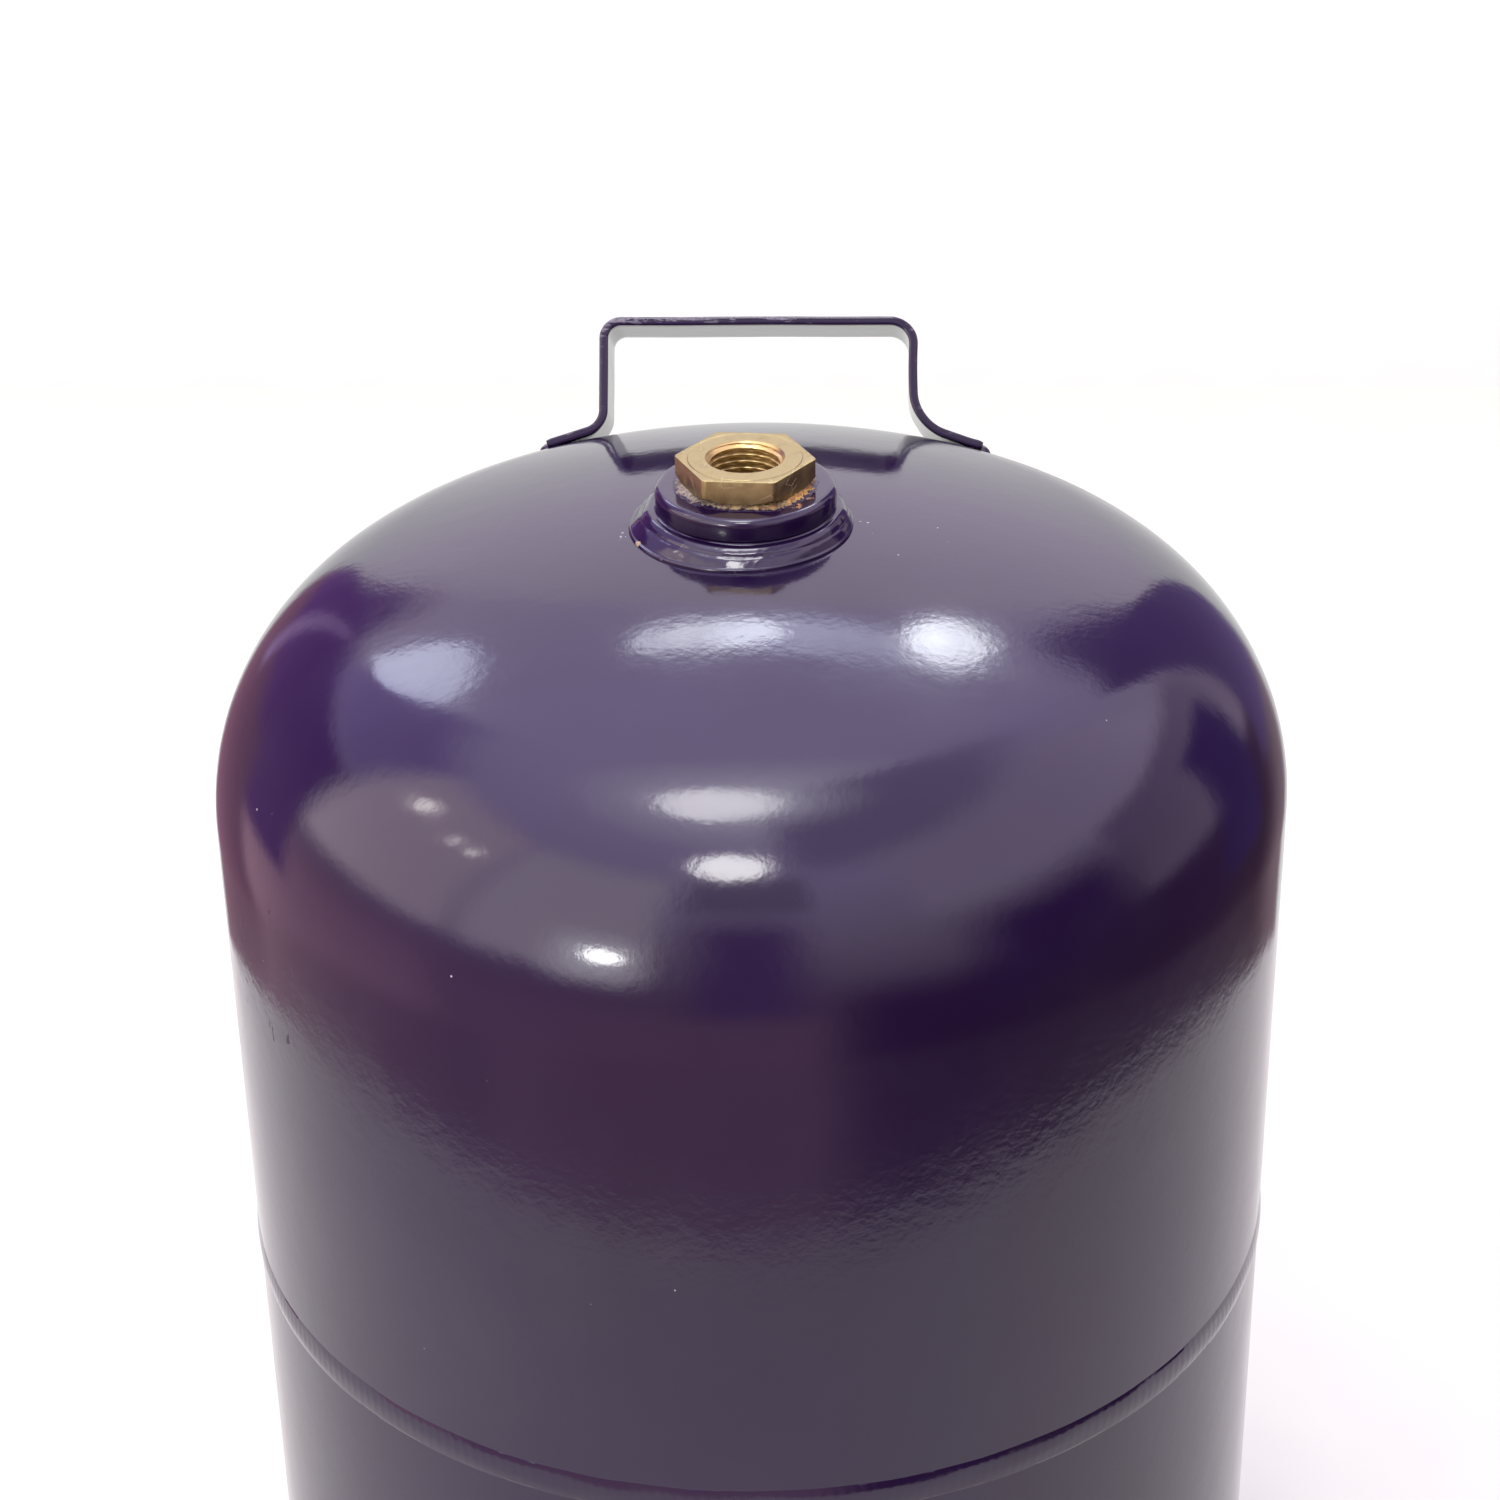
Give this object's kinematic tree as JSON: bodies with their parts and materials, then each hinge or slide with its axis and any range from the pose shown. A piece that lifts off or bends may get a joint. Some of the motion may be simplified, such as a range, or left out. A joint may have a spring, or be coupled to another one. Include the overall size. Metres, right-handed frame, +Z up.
{
  "type": "propane tank",
  "caption": "Squat painted steel gas cylinder with a domed top, a leaning strip handle, a foot ring and a brass self-closing valve with a female thread.",
  "frame": {"origin": "centre of the foot ring's underside, on the floor", "axes": "+Z up along the tank's axis and out of the valve's thread, +X along the handle's grip, +Y from the valve towards the handle"},
  "size_m": [0.23, 0.23, 0.358],
  "materials": {
    "shell_paint": "glossy deep purple enamel over steel, slight orange peel",
    "weld_paint": "glossy deep purple enamel over a lumpy weld bead",
    "handle_paint": "glossy deep purple enamel, worn grey on the grip's edge",
    "valve_brass": "turned brass with fine tool marks and scratches",
    "sealant": "dried sealing compound with rust stains",
    "seal_rubber": "moulded black nitrile rubber",
    "spring_steel": "bright drawn spring steel",
    "sintered_bronze": "grainy sintered bronze"
  },
  "bodies": {
    "tank": {"upper_shell": "shell_paint", "lower_shell": "shell_paint", "girth_weld": "weld_paint", "neck_boss": "shell_paint", "neck_weld": "weld_paint", "valve_body": "valve_brass", "thread_sealant": "sealant", "regulator_gasket": "seal_rubber", "poppet_spring": "spring_steel", "spring_retainer": "valve_brass", "retainer_ring": "spring_steel", "gas_filter": "sintered_bronze", "filter_ring": "spring_steel", "handle": "handle_paint", "handle_weld_left": "weld_paint", "handle_weld_right": "weld_paint", "foot_ring": "shell_paint", "foot_ring_seam": "weld_paint", "foot_ring_welds": "weld_paint"},
    "poppet": {"poppet": "valve_brass", "poppet_seal": "seal_rubber"}
  },
  "joints": [
    {"name": "poppet_slide", "type": "slide", "parent": "tank", "child": "poppet", "axis": [0, 0, -1], "range_m": [0, 0.0025], "stiffness_N_per_m": 500, "springref_m": -0.004, "deforming": ["poppet_spring"]}
  ]
}
